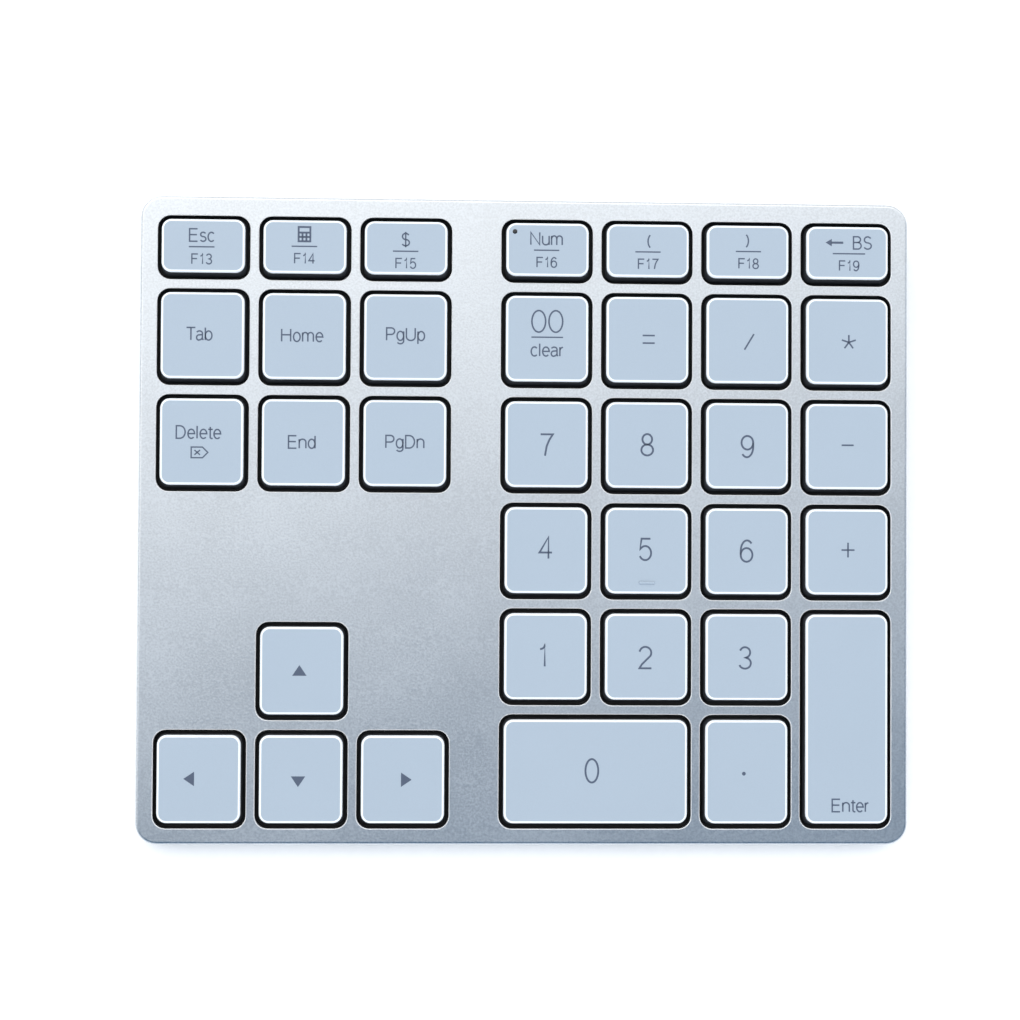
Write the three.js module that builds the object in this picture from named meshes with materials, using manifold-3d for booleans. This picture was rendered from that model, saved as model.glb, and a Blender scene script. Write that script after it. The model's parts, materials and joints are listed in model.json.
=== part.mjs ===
// A low, wedge-shaped wireless numeric keypad: thirty-five scissor keys, each in its own opening in one
// silver case. Millimetres. X runs to the right, Y away from the user and Z up. The origin is on the
// table, under the middle of the case. The deck is the sloping top: in its own frame Z is 0 on the
// plate's top face, and the origin is at the plate's middle.
import * as THREE from "three";
import { mergeVertices } from "three/addons/utils/BufferGeometryUtils.js";
import Module from "manifold-3d";

const wasm = await Module();
wasm.setup();

// Plate and wedge
const PLATE_WIDTH = 145.8;
const PLATE_DEPTH = 122.0; // along the slope
const PLATE_CORNER = 4.0;
const FRONT_HEIGHT = 6.9; // table to the plate's top face, front and rear
const REAR_HEIGHT = 12.1;
const COVER_BOTTOM = 1.0; // how far the feet lift the cover off the table
const CASE_WALL = 1.2;
const TILT = Math.asin((REAR_HEIGHT - FRONT_HEIGHT) / PLATE_DEPTH);
const CASE_DEPTH = PLATE_DEPTH * Math.cos(TILT);
const CASE_TOP = 20.0; // above the highest point of the case

// Key grid, in the deck frame
const PITCH_X = 19.05;
const PITCH_Y = 20.0;
const OPENING_WIDTH = 17.4;
const OPENING_DEPTH = 18.3;
const TOP_ROW_DEPTH = 12.1;
const ARROW_DEPTH = 18.5;
const SIDE_MARGIN = 3.2;
const REAR_MARGIN = 3.65;
const FRONT_MARGIN = 3.0;
const WEB = 1.7; // plate left between two rows of openings
const ARROW_WEB = 1.8;
const OPENING_CORNER = 2.1;

// Keycaps, in the deck frame
const KEY_GAP = 0.7; // all round, inside the opening
const KEY_CORNER = 1.5;
const KEY_TOP = 1.5;
const KEY_TOP_THICK = 1.0;
const KEY_BOTTOM = -1.6;
const KEY_WALL = 1.2;
const BAR = { width: 3.0, depth: 0.5, height: 0.3, below: 5.9 }; // raised homing bar on the 5
const LENS = { radius: 0.4, hole: 0.5, left: 6.2, up: 3.5 }; // lock light, from the Num key's middle

// Layers under the keys, lowest face and thickness, in the deck frame
const DOMES = { bottom: -3.4, thick: 0.2 };
const MEMBRANE = { bottom: -3.7, thick: 0.2 };
const SUPPORT = { bottom: -4.3, thick: 0.5 };
const LAYER_INSET = 1.6; // from the case's outside to a layer's edge
const DOME = { base: 2.9, shoulder: 1.7, top: 0.3, wall: 0.6, sides: 6 };
const WIRE_RADIUS = 0.4; // stabiliser wire
const WIRE_ARM = 8.0;
const WIRE_LOW = -2.75; // height of the wire's pivot, and of its hooks under the keycap
const WIRE_HIGH = -0.2;

// Cover, feet, screws
const COVER_THICK = 1.1;
const COVER_GAP = 0.3;
const COVER_TOP = COVER_BOTTOM + COVER_THICK;
const FOOT = { radius: 5.0, height: 1.4, recess: 1.5, x: 61.5, y: 50.5 };
const SCREW = { shaft: 0.8, head: 1.9, headLow: 1.1, headHigh: 1.55, x: 60.0, front: -20.0, rear: 37.0 };
const BOSS_RADIUS = 2.6;
const SCREW_HOLE = 1.1;
const RIB = 1.0;

// Electronics, along the rear wall
const REAR_FACE = CASE_DEPTH / 2;
const REAR_INSIDE = REAR_FACE - CASE_WALL;
const BOARD = { width: 70.0, depth: 13.0, low: 3.6, thick: 0.8 };
const USB = { width: 8.94, height: 3.26, length: 7.3, wall: 0.3, z: 4.05, clear: 0.3 };
const TONGUE = { width: 6.7, height: 0.7, length: 4.8 };
const SWITCH = { x: -22.0, z: 5.5, width: 8.6, height: 1.9, depth: 3.8, travel: 2.0 };
const KNOB = { width: 2.2, height: 1.2 };
const PAIR = { x: 22.0, z: 5.5, radius: 1.4, hole: 1.7, flange: 1.95 };
const BATTERY = { width: 62.0, depth: 34.0, thick: 2.5, y: 19.5 };
const FLUSH = 0.1; // rear controls stop this far inside the wall's outer face

const FINISH = {
  aluminium: { color: "#c9ced2", roughness: 0.45, metalness: 0.9 },
  keycap: { color: "#bbcad9", roughness: 0.42, metalness: 0.0 },
  blackPlastic: { color: "#1b1c1e", roughness: 0.6, metalness: 0.0 },
  greyPlastic: { color: "#c8ccd0", roughness: 0.55, metalness: 0.0 },
  steel: { color: "#8d9196", roughness: 0.4, metalness: 1.0 },
  film: { color: "#20242a", roughness: 0.35, metalness: 0.0 },
  silicone: { color: "#16181a", roughness: 0.6, metalness: 0.0 },
  board: { color: "#1d4a34", roughness: 0.45, metalness: 0.1 },
  foil: { color: "#a8acb0", roughness: 0.35, metalness: 0.7 },
  rubber: { color: "#2a2b2d", roughness: 0.85, metalness: 0.0 },
  lens: { color: "#101214", roughness: 0.1, metalness: 0.0 },
  led: { color: "#e9efe6", roughness: 0.3, metalness: 0.0 },
};

const model = new THREE.Group();
const deck = new THREE.Group();
deck.position.z = (FRONT_HEIGHT + REAR_HEIGHT) / 2;
deck.rotation.x = TILT;
deck.updateMatrix();
model.add(deck);

// A closed geometry as a solid that can be joined and cut, and back
function solid(geometry) {
  geometry.deleteAttribute("normal");
  geometry.deleteAttribute("uv");
  const merged = mergeVertices(geometry);
  return new wasm.Manifold(new wasm.Mesh({
    numProp: 3,
    vertProperties: new Float32Array(merged.attributes.position.array),
    triVerts: new Uint32Array(merged.index.array),
  }));
}

function geometryOf(manifold) {
  const mesh = manifold.getMesh();
  const geometry = new THREE.BufferGeometry();
  geometry.setAttribute("position", new THREE.BufferAttribute(mesh.vertProperties, 3));
  geometry.setIndex(new THREE.BufferAttribute(mesh.triVerts, 1));
  geometry.computeVertexNormals();
  return geometry;
}

function addPart(name, manifold, finish, group = model, at = [0, 0, 0]) {
  const mesh = new THREE.Mesh(geometryOf(manifold), new THREE.MeshStandardMaterial(finish));
  mesh.name = name;
  mesh.position.set(...at);
  group.add(mesh);
}

function roundedOutline(width, depth, radius) {
  const x = width / 2 - radius;
  const y = depth / 2 - radius;
  const outline = new THREE.Shape();
  outline.absarc(x, y, radius, 0, Math.PI / 2);
  outline.absarc(-x, y, radius, Math.PI / 2, Math.PI);
  outline.absarc(-x, -y, radius, Math.PI, Math.PI * 1.5);
  outline.absarc(x, -y, radius, Math.PI * 1.5, Math.PI * 2);
  return outline;
}

// A rounded slab between two heights. Each corner has twice `curveSegments` facets.
function slabGeometry(width, depth, radius, low, high, curveSegments = 2) {
  const outline = roundedOutline(width, depth, radius);
  const slab = new THREE.ExtrudeGeometry(outline, { depth: high - low, bevelEnabled: false, curveSegments });
  return slab.translate(0, 0, low);
}

function slab(...sizes) {
  return solid(slabGeometry(...sizes));
}

function box(width, depth, height, x, y, z) {
  return solid(new THREE.BoxGeometry(width, depth, height).translate(x, y, z));
}

// An upright cylinder between two heights
function post(radius, low, high, x, y, sides = 16) {
  const geometry = new THREE.CylinderGeometry(radius, radius, high - low, sides).rotateX(Math.PI / 2);
  return solid(geometry.translate(x, y, (low + high) / 2));
}

// A cylinder along Y between two depths
function pinAlongY(radius, front, rear, x, z, sides = 16) {
  const geometry = new THREE.CylinderGeometry(radius, radius, rear - front, sides);
  return solid(geometry.translate(x, (front + rear) / 2, z));
}

function joined(solids) {
  return solids.reduce((all, next) => all.add(next));
}

function cut(body, tools) {
  return tools.reduce((left, tool) => left.subtract(tool), body);
}

// The deck's face at a depth, as a height above the table
function deckHeight(y, below = 0) {
  return deck.position.z + y * Math.tan(TILT) + below / Math.cos(TILT);
}

// Key grid: each key's name, its opening's middle, and its opening's size, in the deck frame
function keyGrid() {
  const firstColumn = -PLATE_WIDTH / 2 + SIDE_MARGIN + OPENING_WIDTH / 2;
  const left = [0, 1, 2].map((n) => firstColumn + n * PITCH_X);
  const right = [3, 2, 1, 0].map((n) => -firstColumn - n * PITCH_X);
  const columns = [...left, ...right];
  const topRow = PLATE_DEPTH / 2 - REAR_MARGIN - TOP_ROW_DEPTH / 2;
  const secondRow = topRow - TOP_ROW_DEPTH / 2 - WEB - OPENING_DEPTH / 2;
  const row = (n) => secondRow - n * PITCH_Y;
  const front = -PLATE_DEPTH / 2 + FRONT_MARGIN;
  const lastRowRear = row(3) - OPENING_DEPTH / 2 - WEB;

  const keys = [];
  const add = (name, x, y, width, depth) => keys.push({ name, x, y, width, depth });
  const addRow = (names, xs, y, depth) =>
    names.forEach((name, n) => add(name, xs[n], y, OPENING_WIDTH, depth));
  // A key between two depths, front and rear
  const addSpan = (name, x, width, low, high) => add(name, x, (low + high) / 2, width, high - low);

  const functionKeys = ["esc", "calculator", "currency", "num", "paren_left", "paren_right", "backspace"];
  addRow(functionKeys, columns, topRow, TOP_ROW_DEPTH);
  addRow(["tab", "home", "page_up"], left, row(0), OPENING_DEPTH);
  addRow(["double_zero", "equals", "divide", "multiply"], right, row(0), OPENING_DEPTH);
  addRow(["delete", "end", "page_down"], left, row(1), OPENING_DEPTH);
  addRow(["7", "8", "9", "minus"], right, row(1), OPENING_DEPTH);
  addRow(["4", "5", "6", "plus"], right, row(2), OPENING_DEPTH);
  addRow(["1", "2", "3"], right, row(3), OPENING_DEPTH);
  addSpan("enter", right[3], OPENING_WIDTH, front, row(3) + OPENING_DEPTH / 2);
  addSpan("0", (right[0] + right[1]) / 2, OPENING_WIDTH + PITCH_X, front, lastRowRear);
  addSpan("decimal", right[2], OPENING_WIDTH, front, lastRowRear);
  addRow(["arrow_left", "arrow_down", "arrow_right"], left, front + ARROW_DEPTH / 2, ARROW_DEPTH);
  addRow(["arrow_up"], [left[1]], front + ARROW_DEPTH * 1.5 + ARROW_WEB, ARROW_DEPTH);
  return keys;
}

const KEYS = keyGrid();
const keyNamed = (name) => KEYS.find((key) => key.name === name);

function openingCutter(key) {
  const below = SUPPORT.bottom;
  const geometry = slabGeometry(key.width, key.depth, OPENING_CORNER, below, CASE_WALL);
  return solid(geometry.translate(key.x, key.y, 0).applyMatrix4(deck.matrix));
}

// Everything under the deck plane at a given depth below the plate's top face
function wedgeBelow(depthBelow) {
  const size = 2 * PLATE_WIDTH;
  const geometry = new THREE.BoxGeometry(size, size, size).translate(0, 0, -size / 2 - depthBelow);
  return solid(geometry.applyMatrix4(deck.matrix));
}

function topCase() {
  const outside = slab(PLATE_WIDTH, CASE_DEPTH, PLATE_CORNER, COVER_BOTTOM, CASE_TOP, 4);
  const insideCorner = PLATE_CORNER - CASE_WALL;
  const insideDepth = CASE_DEPTH - 2 * CASE_WALL;
  const inside = slab(PLATE_WIDTH - 2 * CASE_WALL, insideDepth, insideCorner, 0, CASE_TOP, 4);
  const shell = outside.intersect(wedgeBelow(0)).subtract(inside.intersect(wedgeBelow(CASE_WALL)));
  const rearWall = REAR_FACE - CASE_WALL / 2;
  const through = 2 * CASE_WALL;
  const port = slabGeometry(USB.width + 2 * USB.clear, USB.height + 2 * USB.clear, 1.9, 0, through);
  const slotWidth = KNOB.width + SWITCH.travel + 0.6;
  return cut(shell, [
    ...KEYS.map(openingCutter),
    solid(port.rotateX(Math.PI / 2).translate(0, rearWall + through / 2, USB.z)),
    box(slotWidth, through, KNOB.height + 0.6, SWITCH.x, rearWall, SWITCH.z),
    pinAlongY(PAIR.hole, rearWall - through / 2, rearWall + through / 2, PAIR.x, PAIR.z),
  ]);
}

function keycap(key) {
  const width = key.width - 2 * KEY_GAP;
  const depth = key.depth - 2 * KEY_GAP;
  const hollowTop = KEY_TOP - KEY_TOP_THICK;
  const outside = slab(width, depth, KEY_CORNER, KEY_BOTTOM, KEY_TOP);
  const hollow = slab(width - 2 * KEY_WALL, depth - 2 * KEY_WALL, 0.6, KEY_BOTTOM - 1, hollowTop, 1);
  return outside.subtract(hollow);
}

function keycapWithDetail(key) {
  const cap = keycap(key);
  if (key.name === "5") {
    const bar = box(BAR.width, BAR.depth, 2 * BAR.height, 0, -BAR.below, KEY_TOP);
    return cap.add(bar);
  }
  if (key.name === "num") {
    return cap.subtract(post(LENS.hole, 0, 2 * KEY_TOP, -LENS.left, LENS.up, 12));
  }
  return cap;
}

// A thin layer that follows the deck, just inside the case's walls
function layer({ bottom, thick }) {
  const width = PLATE_WIDTH - 2 * LAYER_INSET;
  const depth = CASE_DEPTH - 2 * LAYER_INSET - 0.6; // less the slope of the walls beside it
  return slabGeometry(width, depth, PLATE_CORNER - LAYER_INSET, bottom, bottom + thick);
}

function domeProfile(shrink, bottom, top) {
  const middle = (bottom + top) / 2;
  return [
    new THREE.Vector2(0, bottom),
    new THREE.Vector2(DOME.base - shrink, bottom),
    new THREE.Vector2(DOME.shoulder + 0.4 - shrink, middle),
    new THREE.Vector2(DOME.shoulder - shrink, top),
    new THREE.Vector2(0, top),
  ];
}

// The silicone sheet with one hollow dome under the middle of each key
function domeSheet() {
  const sheetMiddle = DOMES.bottom + DOMES.thick / 2;
  const outer = domeProfile(0, sheetMiddle, DOME.top);
  const inner = domeProfile(DOME.wall, DOMES.bottom - 1, DOME.top - 2 * DOME.wall);
  const lathe = (profile, key) =>
    solid(new THREE.LatheGeometry(profile, DOME.sides).rotateX(Math.PI / 2).translate(key.x, key.y, 0));
  const domes = KEYS.map((key) => lathe(outer, key));
  const hollows = KEYS.map((key) => lathe(inner, key));
  return cut(joined([solid(layer(DOMES)), ...domes]), hollows);
}

function screwPlaces() {
  return [-SCREW.x, SCREW.x].flatMap((x) => [SCREW.front, SCREW.rear].map((y) => [x, y]));
}

// The steel plate that the keys stand on, with the bosses that the cover screws into
function supportPlate() {
  const plate = solid(layer(SUPPORT).applyMatrix4(deck.matrix));
  const bossLow = COVER_TOP + 0.2;
  const bosses = screwPlaces().map(([x, y]) => {
    const high = deckHeight(y, SUPPORT.bottom) + SUPPORT.thick / 2;
    return post(BOSS_RADIUS, bossLow, high, x, y);
  });
  const holes = screwPlaces().map(([x, y]) =>
    post(SCREW_HOLE, 0, deckHeight(y, SUPPORT.bottom) - 0.15, x, y, 12));
  return cut(joined([plate, ...bosses]), holes);
}

function coverScrew(y) {
  const head = post(SCREW.head, SCREW.headLow, SCREW.headHigh, 0, 0, 20);
  const end = deckHeight(y, SUPPORT.bottom) - 0.45;
  const shaft = post(SCREW.shaft, SCREW.headHigh - 0.1, end, 0, 0, 12);
  const slotLong = box(2.0, 0.4, 0.5, 0, 0, SCREW.headLow);
  const slotWide = box(0.4, 2.0, 0.5, 0, 0, SCREW.headLow);
  return cut(head.add(shaft), [slotLong, slotWide]);
}

function footPlaces() {
  return [-FOOT.x, FOOT.x].flatMap((x) => [-FOOT.y, FOOT.y].map((y) => [x, y]));
}

// A rubber pad with a chamfered lower edge
function foot() {
  const rim = FOOT.radius;
  const profile = [[0, 0], [rim - 0.4, 0], [rim, 0.4], [rim, FOOT.height], [0, FOOT.height]];
  const points = profile.map(([r, z]) => new THREE.Vector2(r, z));
  return solid(new THREE.LatheGeometry(points, 20).rotateX(Math.PI / 2));
}

// Low walls round the battery, open at the rear for its lead
function batteryTray() {
  const width = BATTERY.width + 2;
  const depth = BATTERY.depth + 2;
  const z = COVER_TOP + RIB / 2 - 0.1;
  const tall = RIB + 0.2;
  return [
    box(RIB, depth, tall, -width / 2, BATTERY.y, z),
    box(RIB, depth, tall, width / 2, BATTERY.y, z),
    box(width + RIB, RIB, tall, 0, BATTERY.y - depth / 2, z),
  ];
}

function boardPosts() {
  const y = REAR_INSIDE - BOARD.depth + 2;
  return [-1, 1].map((side) =>
    post(1.6, COVER_TOP - 0.1, BOARD.low - 0.05, side * (BOARD.width / 2 - 3), y));
}

function bottomCover() {
  const inset = CASE_WALL + COVER_GAP;
  const corner = PLATE_CORNER - inset;
  const floor = slab(PLATE_WIDTH - 2 * inset, CASE_DEPTH - 2 * inset, corner, COVER_BOTTOM, COVER_TOP, 3);
  const recesses = footPlaces().map(([x, y]) => post(FOOT.radius + 0.3, 0, FOOT.recess, x, y, 20));
  const headHoles = screwPlaces().map(([x, y]) => post(SCREW.head + 0.3, 0, SCREW.headHigh + 0.05, x, y));
  const shaftHoles = screwPlaces().map(([x, y]) => post(SCREW_HOLE, 0, COVER_TOP + 1, x, y, 12));
  const body = joined([floor, ...batteryTray(), ...boardPosts()]);
  return cut(body, [...recesses, ...headHoles, ...shaftHoles]);
}

function controllerBoard() {
  const rear = REAR_INSIDE - 0.4;
  const middle = rear - BOARD.depth / 2;
  const board = box(BOARD.width, BOARD.depth, BOARD.thick, 0, middle, BOARD.low + BOARD.thick / 2);
  const notchDepth = USB.length - CASE_WALL + 0.3;
  const usbNotch = box(USB.width + 0.6, 2 * notchDepth, 4, 0, rear, BOARD.low);
  const buttonNotch = box(2 * PAIR.flange + 0.8, 2.8, 2, PAIR.x, rear, BOARD.low);
  const chipSide = 5.0;
  const chips = [-12, 12].map((x) =>
    box(chipSide, chipSide, 1.0, x, middle, BOARD.low + BOARD.thick + 0.4));
  return cut(joined([board, ...chips]), [usbNotch, buttonNotch]);
}

// A stadium tube along Y, open at the rear, with a closed front end
function usbShell() {
  const along = (width, height, radius, front, rear) =>
    solid(slabGeometry(width, height, radius, front, rear, 3).rotateX(-Math.PI / 2).translate(0, 0, USB.z));
  const rear = REAR_FACE - FLUSH;
  const front = rear - USB.length;
  const outside = along(USB.width, USB.height, 1.5, front, rear);
  const insideHeight = USB.height - 2 * USB.wall;
  const inside = along(USB.width - 2 * USB.wall, insideHeight, 1.2, front + USB.wall, rear + 1);
  return outside.subtract(inside);
}

function usbTongue() {
  const front = REAR_FACE - FLUSH - USB.length + USB.wall + 0.3;
  return box(TONGUE.width, TONGUE.length, TONGUE.height, 0, front + TONGUE.length / 2, USB.z);
}

function switchBody() {
  const rear = REAR_INSIDE - 0.3;
  const body = box(SWITCH.width, SWITCH.depth, SWITCH.height, SWITCH.x, rear - SWITCH.depth / 2, SWITCH.z);
  const slot = box(KNOB.width + SWITCH.travel + 0.6, 3.2, KNOB.height + 0.2, SWITCH.x, rear, SWITCH.z);
  return body.subtract(slot);
}

// The knob rests at the left end of its slot
function switchKnob() {
  const rear = REAR_FACE - FLUSH;
  const front = REAR_INSIDE - 1.6;
  const x = SWITCH.x - SWITCH.travel / 2;
  const knob = box(KNOB.width, rear - front, KNOB.height, x, (rear + front) / 2, SWITCH.z);
  const grooves = [-0.6, 0, 0.6].map((dx) => box(0.25, 0.3, 2, x + dx, rear, SWITCH.z));
  return cut(knob, grooves);
}

function pairingButton() {
  const rear = REAR_FACE - FLUSH;
  const flange = pinAlongY(PAIR.flange, REAR_INSIDE - 1.3, REAR_INSIDE - 0.3, PAIR.x, PAIR.z);
  return flange.add(pinAlongY(PAIR.radius, REAR_INSIDE - 0.5, rear, PAIR.x, PAIR.z));
}

function pairingSwitch() {
  const face = REAR_INSIDE - 2.1;
  const body = box(4.0, 2.4, 1.9, PAIR.x, face - 0.3 - 1.2, PAIR.z);
  return body.add(pinAlongY(0.8, face - 1, face, PAIR.x, PAIR.z, 12));
}

function battery() {
  const low = COVER_TOP + 0.05;
  const pouch = slabGeometry(BATTERY.width, BATTERY.depth, 1.5, low, low + BATTERY.thick);
  return solid(pouch.translate(0, BATTERY.y, 0));
}

function rod(from, to) {
  const start = new THREE.Vector3(...from);
  const end = new THREE.Vector3(...to);
  const along = end.clone().sub(start);
  const geometry = new THREE.CylinderGeometry(WIRE_RADIUS, WIRE_RADIUS, along.length(), 8);
  const turn = new THREE.Quaternion().setFromUnitVectors(new THREE.Vector3(0, 1, 0), along.normalize());
  return solid(geometry.applyQuaternion(turn).translate(...start.lerp(end, 0.5).toArray()));
}

// A wire that keeps a long key level: a straight pivot run, two arms and two inward hooks. Its pivot run
// lies along X, and its arms point towards -Y.
function stabiliser(length) {
  const half = length / 2;
  const hook = 2.0;
  const bend = WIRE_RADIUS / 2;
  const side = (s) => [
    rod([s * half, bend, WIRE_LOW], [s * half, -WIRE_ARM, WIRE_HIGH]),
    rod([s * (half + bend), -WIRE_ARM, WIRE_HIGH], [s * (half - hook), -WIRE_ARM, WIRE_HIGH]),
  ];
  const run = rod([-half - bend, 0, WIRE_LOW], [half + bend, 0, WIRE_LOW]);
  return joined([run, ...side(-1), ...side(1)]);
}

function addKeys() {
  for (const key of KEYS) {
    addPart(`key_${key.name}`, keycapWithDetail(key), FINISH.keycap, deck, [key.x, key.y, 0]);
  }
}

function addStabilisers() {
  const zero = keyNamed("0");
  const enter = keyNamed("enter");
  const forZero = stabiliser(29.0);
  addPart("stabilizer_bar_0", forZero, FINISH.steel, deck, [zero.x, zero.y + 4.8, 0]);
  const forEnter = stabiliser(34.0).rotate([0, 0, -90]);
  addPart("stabilizer_bar_enter", forEnter, FINISH.steel, deck, [enter.x + 4.4, enter.y, 0]);
}

function addNumLight() {
  const num = keyNamed("num");
  const x = num.x - LENS.left;
  const y = num.y + LENS.up;
  const lens = post(LENS.radius, KEY_TOP - KEY_TOP_THICK, KEY_TOP - 0.02, x, y, 12);
  addPart("num_led_lens", lens, FINISH.lens, deck);
  const ledLow = DOMES.bottom + DOMES.thick + 0.1;
  addPart("num_led", box(1.0, 0.6, 0.5, x, y, ledLow + 0.25), FINISH.led, deck);
}

function addRepeatedFasteners() {
  const corners = ["front_left", "rear_left", "front_right", "rear_right"];
  footPlaces().forEach(([x, y], n) =>
    addPart(`rubber_foot_${corners[n]}`, foot(), FINISH.rubber, model, [x, y, 0]));
  screwPlaces().forEach(([x, y], n) =>
    addPart(`cover_screw_${corners[n]}`, coverScrew(y), FINISH.steel, model, [x, y, 0]));
}

addPart("top_case", topCase(), FINISH.aluminium);
addPart("bottom_cover", bottomCover(), FINISH.greyPlastic);
addPart("key_support_plate", supportPlate(), FINISH.steel);
addPart("membrane_circuit", solid(layer(MEMBRANE)), FINISH.film, deck);
addPart("dome_sheet", domeSheet(), FINISH.silicone, deck);
addKeys();
addStabilisers();
addNumLight();
addPart("controller_board", controllerBoard(), FINISH.board);
addPart("battery", battery(), FINISH.foil);
addPart("usb_port_shell", usbShell(), FINISH.steel);
addPart("usb_port_tongue", usbTongue(), FINISH.blackPlastic);
addPart("power_switch_body", switchBody(), FINISH.blackPlastic);
addPart("power_switch_knob", switchKnob(), FINISH.blackPlastic);
addPart("pairing_button", pairingButton(), FINISH.greyPlastic);
addPart("pairing_tact_switch", pairingSwitch(), FINISH.blackPlastic);
addRepeatedFasteners();

export default model;
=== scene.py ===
import json
import math

import bmesh
import bpy
from mathutils import Matrix, Vector


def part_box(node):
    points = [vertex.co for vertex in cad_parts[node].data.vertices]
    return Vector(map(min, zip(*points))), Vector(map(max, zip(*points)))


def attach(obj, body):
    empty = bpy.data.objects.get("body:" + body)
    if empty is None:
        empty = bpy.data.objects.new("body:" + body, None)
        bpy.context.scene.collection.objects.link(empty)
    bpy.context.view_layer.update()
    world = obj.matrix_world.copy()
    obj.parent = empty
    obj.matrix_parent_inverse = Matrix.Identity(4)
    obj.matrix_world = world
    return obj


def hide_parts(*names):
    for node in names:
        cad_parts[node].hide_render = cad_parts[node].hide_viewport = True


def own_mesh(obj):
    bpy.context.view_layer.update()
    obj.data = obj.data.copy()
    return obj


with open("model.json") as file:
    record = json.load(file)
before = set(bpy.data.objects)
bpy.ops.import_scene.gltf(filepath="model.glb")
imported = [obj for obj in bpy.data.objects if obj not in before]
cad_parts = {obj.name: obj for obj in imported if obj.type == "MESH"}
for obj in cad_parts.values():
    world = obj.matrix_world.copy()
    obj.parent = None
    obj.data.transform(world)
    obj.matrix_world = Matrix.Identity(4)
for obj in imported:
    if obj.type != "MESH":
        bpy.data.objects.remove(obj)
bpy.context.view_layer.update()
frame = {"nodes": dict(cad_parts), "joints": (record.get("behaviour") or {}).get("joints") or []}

# ---- driving dimensions, in millimetres ----
MM = 0.001
KEY_TOP = 1.5  # keycap's top face above the deck
KEY_BOTTOM = -1.6  # lower edge of its skirt
KEY_EDGE = 0.42  # radius of the rounding round its top face
KEY_CAP = 0.75  # depth of its pale top layer, whose white rim is a painted highlight, above the skirt's painted shade
KEY_DRAFT = 0.20  # how far that layer stands in from the skirt
FRONT_LEAN = 0.28  # how much further it stands in at its front
KEY_CORNER = 1.5  # of the skirt
CAP_CORNER = 2.0  # of the pale top layer
KEY_WALL = 1.1
KEY_CEILING = 0.55  # underside of its top wall
HOLLOW_DRAFT = 0.2  # how much narrower its hollow is up there, on each side
SKIRT_CHAMFER = 0.1
OPENING_GAP = 0.70  # between a keycap's skirt and the edge of its opening
OPENING_CORNER = 2.4
OPENING_BEVEL = 0.15  # width of the bevel round an opening, coloured near-white as a painted highlight
BEVEL_DEPTH = 0.09
CASE_EDGE = 0.5  # radius of the rounding round the plate
CASE_BAND = 0.1  # width of the flat strip beside that rounding
CASE_CORNER = 4.0
CASE_WALL = 1.2
CASE_FOOT = 0.2  # small chamfer along the case's lower edge
COVER_LOW = 1.0  # lower and upper face of the bottom cover, above the table
COVER_HIGH = 2.1
COVER_GAP = 0.3  # round the cover, and round each foot and screw head in its well
SHEET_TOP = -3.2  # upper face of the dome sheet, in the deck's frame
SHEET_THICK = 0.2
LENS_HOLE = 0.46  # radius of the hole for the lock light in the Num key
LENS_FIT = 0.02
LENS_LEFT = 6.2  # its place, from the key's middle
LENS_UP = 3.5
LEGEND_RISE = 0.012  # print thickness above the keycap
LEGEND_SINK = 0.03
STROKE = 0.28  # width of a printed line
LETTER_WIDTH = 1.1  # how much the letters are widened

# ---- the deck's own frame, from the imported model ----
press = next(j for j in frame["joints"] if j["name"] == "key_5_press")
DOWN = Vector(press["axis"])
TILT = math.atan2(DOWN.y, -DOWN.z)
case_low, case_high = (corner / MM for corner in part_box("top_case"))
CASE_WIDTH = case_high.x - case_low.x
CASE_DEPTH = case_high.y - case_low.y
PLATE_DEPTH = CASE_DEPTH / math.cos(TILT)
DECK_HEIGHT = case_high.z - CASE_DEPTH / 2 * math.tan(TILT)
DECK = Matrix.Translation((0, 0, DECK_HEIGHT)) @ Matrix.Rotation(TILT, 4, "X")


def on_deck(x, y, z):
    """A point given in the deck's frame, in millimetres, as a point of the row frame in metres."""
    return (DECK @ Vector((x, y, z))) * MM


def on_table(x, y, z):
    """A point given above the table, in millimetres, in metres."""
    return Vector((x, y, z)) * MM


def deck_at(x, y):
    """The same for a piece whose own middle is at (x, y) on the deck."""
    return lambda px, py, z: on_deck(x + px, y + py, z)


def table_at(x, y):
    return lambda px, py, z: on_table(x + px, y + py, z)


def key_place(node):
    """A key's middle on the deck, and its skirt's width and depth, from its CAD box."""
    low, high = (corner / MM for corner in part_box(node))
    height = KEY_TOP - KEY_BOTTOM
    middle_z = (KEY_TOP + KEY_BOTTOM) / 2
    depth = (high.y - low.y - height * math.sin(TILT)) / math.cos(TILT)
    y = ((low.y + high.y) / 2 + middle_z * math.sin(TILT)) / math.cos(TILT)
    return (low.x + high.x) / 2, y, high.x - low.x, depth


KEYS = {n[4:]: key_place(n) for n in frame["nodes"] if n.startswith("key_") and n != "key_support_plate"}


# ---- materials ----
PATCH_SIZE = 18.0  # size of the broad patches in every material
RELIEF_DEPTH = 0.05  # height of the grain at full strength


def connect(tree, node, inputs):
    """Sets each named or numbered input to its value, or links it to another node's output."""
    for key, value in inputs.items():
        if isinstance(value, bpy.types.NodeSocket):
            tree.links.new(value, node.inputs[key])
        else:
            node.inputs[key].default_value = value
    return node


def add_node(tree, kind, inputs):
    return connect(tree, tree.nodes.new(kind), inputs)


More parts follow.
